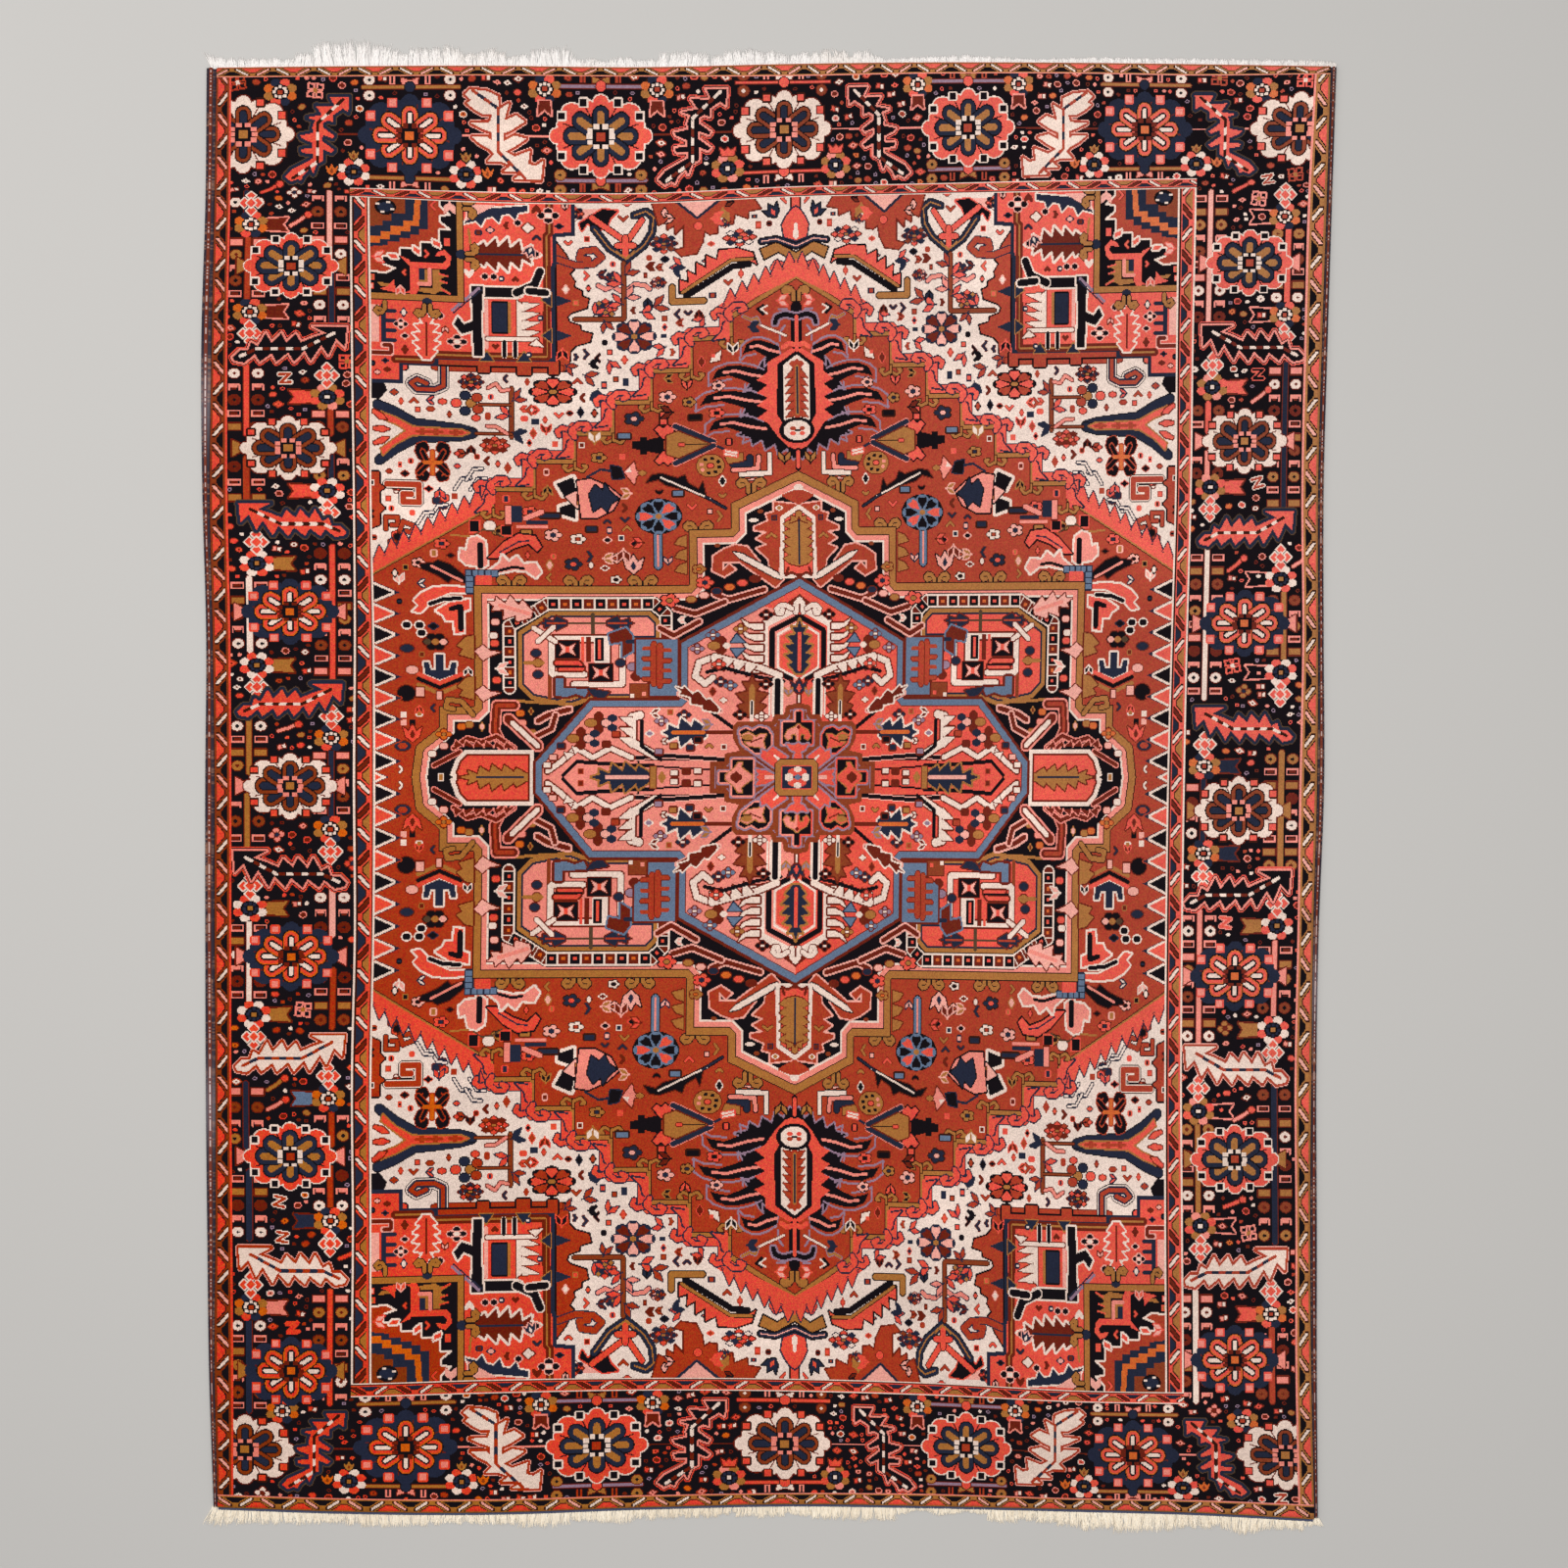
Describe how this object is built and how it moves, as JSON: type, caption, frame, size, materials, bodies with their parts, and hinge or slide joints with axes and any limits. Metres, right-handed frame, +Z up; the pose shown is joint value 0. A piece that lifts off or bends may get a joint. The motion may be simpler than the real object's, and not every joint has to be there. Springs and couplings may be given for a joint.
{
  "type": "hand-knotted persian rug",
  "caption": "Large flat hand-knotted wool rug with a central medallion, patterned borders, overcast side selvedges and a cotton fringe of uneven length along each end.",
  "frame": {"origin": "middle of the rug's box, on the floor under it", "axes": "+Y along the rug's length towards the end with the long fringe tufts, +X across it to the right as seen from above, +Z up from the floor through the pile"},
  "size_m": [3.054, 4.0126, 0.01],
  "materials": {
    "pile_wool": "clipped wool pile, knotted in a geometric medallion pattern of rust red, navy, ivory, coral, gold and blue, soft low sheen",
    "selvedge_wool": "navy and maroon wool overcast round bundled warps, matte",
    "fringe_cotton": "off-white cotton warp ends, matte and fluffy"
  },
  "bodies": {
    "root": {"rug_body": "pile_wool", "selvedge_left": "selvedge_wool", "selvedge_right": "selvedge_wool", "fringe_top": "fringe_cotton", "fringe_bottom": "fringe_cotton"}
  },
  "joints": []
}
